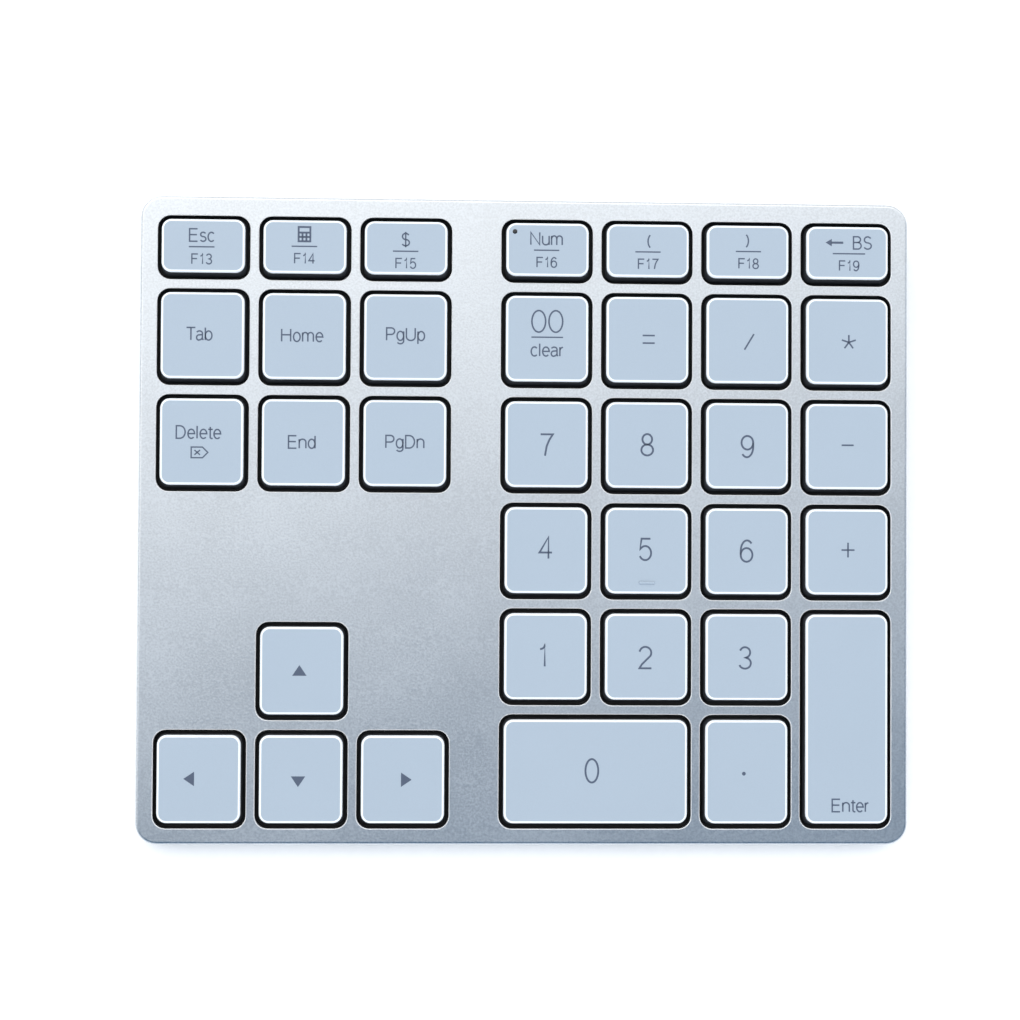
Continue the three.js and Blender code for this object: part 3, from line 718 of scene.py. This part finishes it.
def sweep(bm, path, section, place, closed=False):
    """Carries a section, given as (side, up) offsets, along a path of points."""
    path = [Vector(p) for p in path]
    up = Vector((0, 0, 1))
    count = len(path)
    rings = []
    for n, point in enumerate(path):
        before = path[n - 1] if n or closed else point
        after = path[(n + 1) % count] if n < count - 1 or closed else point
        along = (after - before).normalized()
        side = along.cross(up).normalized()
        lift = side.cross(along)
        ring = [point + a * side + b * lift for a, b in section]
        rings.append([bm.verts.new(place(*corner)) for corner in ring])
    chain(bm, rings)
    if closed:
        bridge(bm, rings[-1], rings[0])
    else:
        cap(bm, rings[0])
        cap(bm, rings[-1])


SCISSOR_SIDE = 4.4  # how much narrower a pair is than its keycap
SCISSOR_WIDEST = 6.0  # how much wider than it is deep a keycap can be and still widen its pair
SCISSOR_DEPTH = 10.0
SCISSOR_GAP = 0.5  # from the keycap's wall
SCISSOR_LOW = -2.75
SCISSOR_HIGH = 0.05
SCISSOR_BAR = 1.0  # width and thickness of a frame's bars
SCISSOR_THICK = 0.7
SCISSOR_CORNER = 0.9
SCISSOR_PLAY = 0.15  # between the outer and the inner frame
SCISSOR_BY_WIRE = 7.8  # depth of a pair that stands beside a stabiliser wire
PIN_RADIUS = 0.28


def make_scissor(name):
    """Two plastic frames that cross like scissor blades, pinned to each other at their middles."""
    x, y, width, depth = KEYS[name]
    place = deck_at(x, y)
    wide = min(width, depth + SCISSOR_WIDEST) - SCISSOR_SIDE
    deep = min(SCISSOR_DEPTH, depth - 2 * KEY_WALL - SCISSOR_GAP)
    if name in ("0", "enter"):
        deep = SCISSOR_BY_WIRE
    if name == "enter":
        place = lambda px, py, z: on_deck(x - py, y + px, z)
    middle = (SCISSOR_LOW + SCISSOR_HIGH) / 2
    slope = (SCISSOR_HIGH - SCISSOR_LOW) / (deep - SCISSOR_BAR)
    section = outline(SCISSOR_BAR, SCISSOR_THICK, 0.25, steps=2)
    bm = bmesh.new()
    for lean, inset in ((1, 0), (-1, SCISSOR_BAR + SCISSOR_PLAY)):
        ring = outline(wide - SCISSOR_BAR - 2 * inset, deep - SCISSOR_BAR, SCISSOR_CORNER, steps=3)
        path = [(px, py, middle + lean * slope * py) for px, py in ring]
        sweep(bm, path, section, place, closed=True)
    pin = circle(PIN_RADIUS, sides=10)
    outer = wide / 2 - SCISSOR_BAR / 2
    for side in (-1, 1):
        start, end = side * (outer - SCISSOR_BAR - 0.3), side * (outer + 0.2)
        sweep(bm, [(start, 0, middle), (end, 0, middle)], pin, place)
    under_key(piece(f"scissor_{name}", bm, [BLACK]), "black_plastic")


def make_dome_sheet():
    """The flat silicone that the domes stand on."""
    side_play, end_play, corner, chamfer = 3.2, 3.8, 2.4, 0.04
    edge = lambda inset: outline(CASE_WIDTH - side_play, CASE_DEPTH - end_play, corner, inset)
    low = SHEET_TOP - SHEET_THICK
    layers = [(edge(chamfer), low), (edge(0), low + chamfer), (edge(0), SHEET_TOP - chamfer),
              (edge(chamfer), SHEET_TOP)]
    settle(stacked("dome_sheet_base", layers, on_deck, SILICONE), "case", "dome_silicone", "dome_sheet")


def rounded_path(corners, radius, steps=4):
    """A polyline with its inner corners rounded by short curves."""
    points = [Vector(p) for p in corners]
    path = [points[0]]
    for before, corner, after in zip(points, points[1:], points[2:]):
        start = corner + (before - corner).normalized() * radius
        end = corner + (after - corner).normalized() * radius
        for k in range(steps + 1):
            t = k / steps
            path.append((1 - t) ** 2 * start + 2 * t * (1 - t) * corner + t ** 2 * end)
    return [*path, points[-1]]


WIRE_RADIUS = 0.4
WIRE_BEND = 0.9
WIRE_ARM = 8.0
WIRE_HOOK = 2.0
WIRE_LOW = -2.75  # height of the pivot run and of the hooks, in the deck's frame
WIRE_HIGH = -0.2
ZERO_WIRE = (29.0, 4.8)  # length of the pivot run, and its distance from the key's middle
ENTER_WIRE = (34.0, 4.4)


def make_stabiliser(name, length, place):
    """A bent steel wire: a pivot run along X, two arms and two inward hooks."""
    half, reach = length / 2, length / 2 - WIRE_HOOK
    corners = [(-reach, -WIRE_ARM, WIRE_HIGH), (-half, -WIRE_ARM, WIRE_HIGH), (-half, 0, WIRE_LOW),
               (half, 0, WIRE_LOW), (half, -WIRE_ARM, WIRE_HIGH), (reach, -WIRE_ARM, WIRE_HIGH)]
    bm = bmesh.new()
    sweep(bm, rounded_path(corners, WIRE_BEND), circle(WIRE_RADIUS, sides=12), place)
    wire = piece(f"stabilizer_wire_{name}", bm, [STEEL])
    settle(wire, f"stabilizer_bar_{name}", "steel", f"stabilizer_bar_{name}")


def make_stabilisers():
    """The wire of the 0 lies across the deck, and that of the Enter along it."""
    x, y, _, _ = KEYS["0"]
    length, back = ZERO_WIRE
    make_stabiliser("0", length, deck_at(x, y + back))
    middle_x, middle_y, _, _ = KEYS["enter"]
    length, right = ENTER_WIRE
    make_stabiliser("enter", length, lambda px, py, z: on_deck(middle_x + right + py, middle_y - px, z))


# ---- bottom cover, feet and screws ----
FOOT_RADIUS = 5.0
FOOT_WELL = 1.5  # upper end of its well
FOOT_TOP = 1.4
SCREW_HEAD = 1.9  # radius of a screw's head
SCREW_SHAFT = 0.78  # radius of its shaft over the threads, and between them
SCREW_CORE = 0.6
SCREW_PITCH = 0.55
SCREW_WELL = 1.6  # upper end of a screw's well
SCREW_SHAFT_HOLE = 1.1
TRAY_PLAY = 2.0  # how much wider and deeper the ribs stand than the battery
RIB_WIDTH = 1.0
RIB_HEIGHT = 1.0
POST_RADIUS = 1.6
POST_FROM_SIDE = 3.0  # from the board's edges
POST_FROM_FRONT = 2.0


def well(bm, x, y, radius, rise, lip=0.15):
    """The rounded mouth and side of a round recess in the cover's underside."""
    at = table_at(x, y)
    profile = [(radius + lip, COVER_LOW), (radius + 0.3 * lip, COVER_LOW + 0.3 * lip),
               (radius, COVER_LOW + lip), (radius, rise)]
    rings = stack(bm, lathe(profile, 40), at, close=(False, False))
    return rings[0], rings[-1], at


def rib(bm, x, y, width, depth, low, high, chamfer=0.15):
    edge = lambda inset: outline(width, depth, 2 * chamfer, inset, steps=2)
    layers = [(edge(0), low), (edge(0), high - chamfer), (edge(chamfer), high)]
    stack(bm, layers, table_at(x, y))


def make_cover():
    """The flat bottom cover, with a well for each foot and screw head and a hole for each screw."""
    bm = bmesh.new()
    edge = lambda inset: outline(CASE_WIDTH, CASE_DEPTH, CASE_CORNER, CASE_WALL + COVER_GAP + inset, steps=8)
    layers = [(edge(0.35), COVER_LOW), (edge(0.1), COVER_LOW + 0.1), (edge(0), COVER_LOW + 0.35),
              (edge(0), COVER_HIGH)]
    side = stack(bm, layers, on_table, close=(False, False))
    below, above = [side[0]], [side[-1]]
    for name in frame["nodes"]:
        middle, _ = measure(name)
        if name.startswith("rubber_foot"):
            mouth, end, _ = well(bm, middle.x, middle.y, FOOT_RADIUS + COVER_GAP, FOOT_WELL)
            below.append(mouth)
            cap(bm, end)
        if name.startswith("cover_screw"):
            mouth, end, at = well(bm, middle.x, middle.y, SCREW_HEAD + COVER_GAP, SCREW_WELL)
            below.append(mouth)
            hole = [loop(bm, circle(SCREW_SHAFT_HOLE, sides=24), z, at) for z in (SCREW_WELL, COVER_HIGH)]
            bridge(bm, *hole)
            sheet_with_holes(bm, [end, hole[0]], DOWN)
            above.append(hole[1])
    sheet_with_holes(bm, below, DOWN)
    sheet_with_holes(bm, above, -DOWN)
    add_battery_tray(bm)
    settle(piece("bottom_shell", bm, [COVER]), "case", "cover_plastic", "bottom_cover")


def add_battery_tray(bm):
    """Low ribs round the battery, and two posts under the board."""
    middle, size = measure("battery")
    wide, deep = size.x + TRAY_PLAY, size.y + TRAY_PLAY
    low, high = COVER_HIGH - 0.1, COVER_HIGH + RIB_HEIGHT
    for side in (-1, 1):
        rib(bm, side * wide / 2, middle.y, RIB_WIDTH, deep, low, high)
    rib(bm, 0, middle.y - deep / 2, wide - 1.2 * RIB_WIDTH, RIB_WIDTH, low, high)
    board, board_size = measure("controller_board")
    y = board.y - board_size.y / 2 + POST_FROM_FRONT
    layers = lathe([(POST_RADIUS, low), (POST_RADIUS, board.z - board_size.z / 2 - 0.1)])
    for side in (-1, 1):
        stack(bm, layers, table_at(side * (board_size.x / 2 - POST_FROM_SIDE), y))


def make_foot(name):
    """A rubber disc with a rounded edge and a shallow dish inside its bearing ring."""
    middle, _ = measure(name)
    rounding = [(FOOT_RADIUS - inset, drop) for inset, drop in reversed(quarter(0.45))]
    dish = [(2.6, 0.14), (3.1, 0.10), (3.4, 0.0)]
    top = [(FOOT_RADIUS, FOOT_TOP - 0.1), (FOOT_RADIUS - 0.1, FOOT_TOP)]
    layers = lathe(dish + rounding + top, 48)
    corner = name.removeprefix("rubber_foot_")
    foot = stacked(f"foot_pad_{corner}", layers, table_at(middle.x, middle.y), RUBBER)
    settle(foot, "case", "foot_rubber", name)


def cross(arm, half):
    """The outline of a cross with four arms, each 2 * half wide."""
    quarter_turn = [(half, -half), (arm, -half), (arm, half)]
    turns = [(1, 0), (0, 1), (-1, 0), (0, -1)]
    return [(x * c - y * s, x * s + y * c) for c, s in turns for x, y in quarter_turn]


def make_screw(name):
    """A cross-head screw, its thread made as close rings."""
    middle, _ = measure(name)
    low, high = (corner.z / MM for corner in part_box(name))
    place = table_at(middle.x, middle.y)
    bm = bmesh.new()
    mouth = loop(bm, cross(1.0, 0.22), low, place)
    floor = loop(bm, cross(0.75, 0.16), low + 0.3, place)
    bridge(bm, mouth, floor, smooth=False)
    cap(bm, floor)
    head = [(SCREW_HEAD - inset, low + drop) for inset, drop in reversed(quarter(0.28))]
    under_head = low + 0.45
    neck = [(SCREW_HEAD, under_head), (SCREW_SHAFT, under_head), (SCREW_SHAFT, under_head + 0.2)]
    turns = int((high - low - 1.0) / SCREW_PITCH)
    thread = [(SCREW_CORE if half else SCREW_SHAFT, low + 0.8 + SCREW_PITCH * (turn + half / 2))
              for turn in range(turns) for half in (1, 0)]
    profile = head + neck + thread + [(0.45, high)]
    rings = stack(bm, lathe(profile, 24), place, close=(False, True))
    sheet_with_holes(bm, [rings[0], mouth], DOWN)
    corner = name.removeprefix("cover_screw_")
    settle(piece(f"screw_{corner}", bm, [STEEL]), "case", "steel", name)


# ---- rear connector and controls ----
def rear_wall_place(middle):
    """Places a profile in the rear wall's plane: x and z from a node's middle, and y above the table."""
    return lambda px, pz, y: on_table(middle.x + px, y, middle.z + pz)


SOCKET_CORNER = 1.6
SOCKET_WALL = 0.3
CONTACTS = 12  # on each side of the tongue
CONTACT_PITCH = 0.5
CONTACT_WIDTH = 0.26
CONTACT_THICK = 0.06
CONTACT_ENDS = (4.0, 0.6)  # how far its two ends are from the tongue's tip


def make_usb_port():
    """A pressed steel shell, a plastic tongue and the contacts on both its faces."""
    middle, size = measure("usb_port_shell")
    front, rear = middle.y - size.y / 2, middle.y + size.y / 2
    edge = lambda inset: outline(size.x, size.z, SOCKET_CORNER, inset, steps=8)
    outside = [(edge(0.25), front), (edge(0), front + 0.25), (edge(0), rear - 0.08), (edge(0.06), rear)]
    inside = [(edge(0.24), rear), (edge(SOCKET_WALL), rear - 0.1), (edge(SOCKET_WALL), front + SOCKET_WALL)]
    shell = stacked("usb_socket_shell", outside + inside, rear_wall_place(middle), STEEL)
    settle(shell, "case", "steel", "usb_port_shell")

    middle, size = measure("usb_port_tongue")
    place = rear_wall_place(middle)
    tip = middle.y + size.y / 2
    bar = lambda inset: outline(size.x, size.z, 0.2, inset, steps=3)
    layers = [(bar(0), tip - size.y), (bar(0), tip - 0.15), (bar(0.05), tip - 0.04), (bar(0.15), tip)]
    tongue = stacked("usb_socket_tongue", layers, place, BLACK)
    settle(tongue, "case", "black_plastic", "usb_port_tongue")

    contact = outline(CONTACT_WIDTH, CONTACT_THICK, 0.02, steps=1)
    bm = bmesh.new()
    for k in range(CONTACTS):
        for face in (-1, 1):
            x, z = CONTACT_PITCH * (k - (CONTACTS - 1) / 2), face * (size.z / 2 + 0.01)
            strip = shifted(contact, x, z)
            stack(bm, [(strip, tip - end) for end in CONTACT_ENDS], place)
    settle(piece("usb_socket_contacts", bm, [GOLD], flat_shading=True), "case", "steel")


KNOB_GROOVES = 4
GROOVE_DEPTH = 0.13
KNOB_EDGE = 0.1  # chamfer round the knob
KNOB_SHOULDER = 0.12


def make_power_knob():
    """A sliding knob with upright ribs for the fingernail."""
    middle, size = measure("power_switch_knob")
    rear, front = middle.y + size.y / 2, middle.y - size.y / 2
    half, tall = size.x / 2, size.z / 2
    ribs = []
    steps = 8 * KNOB_GROOVES
    for k in range(steps + 1):
        x = half - KNOB_EDGE - (size.x - 2 * KNOB_EDGE) * k / steps
        wave = 1 - math.cos(2 * math.pi * KNOB_GROOVES * k / steps)
        ribs.append((x, rear - GROOVE_DEPTH * wave / 2))
    shoulder = rear - KNOB_SHOULDER
    profile = [(-half, front), (half, front), (half, shoulder), *ribs, (-half, shoulder)]
    shrink = lambda inset: [(x * (1 - inset / half), min(y, rear - inset)) for x, y in profile]
    layers = [(shrink(KNOB_EDGE), -tall), (shrink(0), -tall + KNOB_EDGE), (shrink(0), tall - KNOB_EDGE),
              (shrink(KNOB_EDGE), tall)]
    place = lambda px, y, z: on_table(middle.x + px, y, middle.z + z)
    knob = stacked("power_slide_knob", layers, place, BLACK, flat_shading=True)
    settle(knob, "power_switch_knob", "black_plastic", "power_switch_knob")


def make_pairing_button():
    """A round push button with a crowned end, held in by its flange."""
    middle, size = measure("pairing_button")
    rear, front = middle.y + size.y / 2, middle.y - size.y / 2
    flange, stem, thick, chamfer = 1.95, 1.4, 1.0, 0.1
    collar = [(flange - chamfer, front), (flange, front + chamfer), (flange, front + thick - chamfer),
              (flange - chamfer, front + thick)]
    crown = [(0, 0.3), (0.05, 0.2), (0.18, 0.1), (0.5, 0.03), (0.95, 0)]  # inset and drop of its rounding
    end = [(stem - inset, rear - drop) for inset, drop in crown]
    profile = [*collar, (stem, front + thick), *end]
    button = stacked("pairing_push_button", lathe(profile, 36), rear_wall_place(middle), COVER)
    settle(button, "pairing_button", "cover_plastic", "pairing_button")


POUCH_CORNER = 3.0
POUCH_EDGE = 0.9
TAPE_WIDTH = 5.0
TAPE_THICK = 0.03
TAPE_FROM_END = 4.0  # from the battery's rear end to the middle of the tape


def make_battery():
    """A soft pouch cell with rounded edges and a band of tape across its rear end."""
    middle, size = measure("battery")
    low = middle.z - size.z / 2
    edge = lambda inset: outline(size.x, size.y, POUCH_CORNER, inset)
    rounding = quarter(POUCH_EDGE, 5)
    layers = [(edge(inset), low + drop) for inset, drop in reversed(rounding)]
    layers += [(edge(inset), low + size.z - drop) for inset, drop in rounding]
    pouch = stacked("battery_pouch", layers, table_at(middle.x, middle.y), FOIL)
    settle(pouch, "case", "battery_foil", "battery")

    wrap = lambda inset: outline(size.x + 0.08, size.z + 0.06, 0.95, inset, steps=5)
    rear = middle.y + size.y / 2 - TAPE_FROM_END + TAPE_WIDTH / 2
    front = rear - TAPE_WIDTH
    layers = [(wrap(0), front), (wrap(0), rear), (wrap(TAPE_THICK), rear), (wrap(TAPE_THICK), front)]
    bm = bmesh.new()
    rings = stack(bm, layers, rear_wall_place(middle), close=(False, False))
    bridge(bm, rings[-1], rings[0])
    settle(piece("battery_tape", bm, [TAPE]), "case", "battery_foil")


# ---- carried-over nodes ----
def finish_nodes():
    """Gives the CAD nodes that stay in the model their materials."""
    looks = {
        "key_support_plate": STEEL, "membrane_circuit": FILM, "num_led": LED, "controller_board": BOARD,
        "power_switch_body": BLACK, "pairing_tact_switch": BLACK,
    }
    for name, look in looks.items():
        materials = frame["nodes"][name].data.materials
        materials.clear()
        materials.append(look)


# ---- room ----
FLOOR_SIZE = 4000
FLOOR_THICK = 2.0


def make_floor():
    paper = surface("paper_floor", (0.96, 0.96, 0.96), 0.9, grain=2.0, tint=0.01)
    square = outline(FLOOR_SIZE, FLOOR_SIZE, 10)
    floor = stacked("floor", [(square, -FLOOR_THICK), (square, 0.0)], on_table, paper, flat_shading=True)


def area_light(name, place, size, power):
    """A round lamp that faces the keypad."""
    light = bpy.data.lights.new(name, "AREA")
    light.shape = "DISK"
    light.size = size
    light.energy = power
    lamp = add_object(name, light)
    lamp.location = place
    lamp.rotation_euler = Vector(place).to_track_quat("Z", "Y").to_euler()


def soft_sun(name, place, strength, spread):
    """Even light from the side that place lies on, as soft as a sky patch spread degrees across. It
    lights rough surfaces and isn't mirrored by shiny ones."""
    light = bpy.data.lights.new(name, "SUN")
    light.energy = strength
    light.angle = math.radians(spread)
    sun = add_object(name, light)
    sun.rotation_euler = Vector(place).to_track_quat("Z", "Y").to_euler()
    sun.visible_glossy = False


ROOM_LIGHT = 1.20
CEILING_SLOPE = (-0.5, 2.0, 0)  # the way in which the ceiling brightens
CEILING_SPAN = (-0.36, 0.39)  # where along that way the fade starts and ends
CEILING_FRONT = (0.01, 0.09, 0.19, 1)
CEILING_REAR = (1.61, 1.58, 1.54, 1)
WALL_SLOPE = (-0.3, 1.0, 0)
WALL_SPAN = (-0.6, 0.6)
WALL_FRONT = (0.55, 0.62, 0.70, 1)
WALL_REAR = (0.62, 0.64, 0.66, 1)
WALLS_END = 0.48  # heights, on a unit sphere, between which the walls turn into the ceiling
CEILING_STARTS = 0.70
BACKDROP = (1.0, 1.0, 1.0, 1)


def make_world():
    """Walls and a ceiling that fade from pale in the rear to dim in front, behind a plain pale backdrop."""
    world = bpy.data.worlds.new("studio")
    world.use_nodes = True
    tree = world.node_tree
    where = tree.nodes.new("ShaderNodeTexCoord").outputs["Generated"]

    def fade(slope, span, front, rear):
        along = add_node(tree, "ShaderNodeVectorMath", {0: where, 1: slope})
        along.operation = "DOT_PRODUCT"
        share = add_node(tree, "ShaderNodeMapRange", {
            "Value": along.outputs["Value"], "From Min": span[0], "From Max": span[1]})
        ramp = add_node(tree, "ShaderNodeValToRGB", {"Fac": share.outputs["Result"]})
        ramp.color_ramp.elements[0].color = front
        ramp.color_ramp.elements[1].color = rear
        return ramp.outputs["Color"]

    ceiling = fade(CEILING_SLOPE, CEILING_SPAN, CEILING_FRONT, CEILING_REAR)
    walls = fade(WALL_SLOPE, WALL_SPAN, WALL_FRONT, WALL_REAR)
    split = add_node(tree, "ShaderNodeSeparateXYZ", {0: where})
    overhead = add_node(tree, "ShaderNodeMapRange", {
        "Value": split.outputs["Z"], "From Min": WALLS_END, "From Max": CEILING_STARTS})
    overhead.interpolation_type = "SMOOTHSTEP"
    mixed = tree.nodes.new("ShaderNodeMix")
    mixed.data_type = "RGBA"
    factor, first, second = 0, 6, 7  # numbers of the inputs that an RGBA mix uses
    connect(tree, mixed, {factor: overhead.outputs["Result"], first: walls, second: ceiling})
    room = connect(tree, tree.nodes["Background"], {"Color": mixed.outputs[2], "Strength": ROOM_LIGHT})

    backdrop = add_node(tree, "ShaderNodeBackground", {"Color": BACKDROP})
    rays = tree.nodes.new("ShaderNodeLightPath")
    seen = add_node(tree, "ShaderNodeMixShader", {
        0: rays.outputs["Is Camera Ray"], 1: room.outputs[0], 2: backdrop.outputs[0]})
    connect(tree, tree.nodes["World Output"], {"Surface": seen.outputs[0]})
    bpy.context.scene.world = world


def make_lights():
    make_world()
    bpy.context.scene.view_settings.view_transform = "Standard"
    area_light("rear_light", (-0.5, 0.9, 0.8), 0.5, 1.2)
    soft_sun("overhead_fill", (0.1, -0.6, 1.0), 1.7, 120)


# The camera looks almost straight down. Its place and its turn are given on the deck's axes.
CAMERA = Vector((-19.7, -8.2, 401.1))
LOOK = Vector((0.0417, 0.0257, -0.9988))
CAMERA_UP = Vector((-0.0066, 0.9997, 0.0254))
LENS_MM = 74.9


def make_camera():
    data = bpy.data.cameras.new("camera")
    data.lens = LENS_MM
    data.sensor_width = 36.0
    data.clip_start = 0.01
    turn = DECK.to_3x3()
    back = (turn @ -LOOK).normalized()
    right = (turn @ CAMERA_UP).cross(back).normalized()
    up = back.cross(right)
    axes = Matrix((right, up, back)).transposed()
    camera = add_object("camera", data)
    camera.matrix_world = Matrix.Translation(on_deck(*CAMERA)) @ axes.to_4x4()
    bpy.context.scene.camera = camera


make_camera()
make_lights()
make_floor()
make_case()
for key in KEYS:
    make_keycap(key)
    make_legend(key)
    make_dome(key)
    make_scissor(key)
make_lens()
make_dome_sheet()
make_stabilisers()
make_cover()
for node in frame["nodes"]:
    if node.startswith("rubber_foot"):
        make_foot(node)
    if node.startswith("cover_screw"):
        make_screw(node)
make_usb_port()
make_power_knob()
make_pairing_button()
make_battery()
finish_nodes()
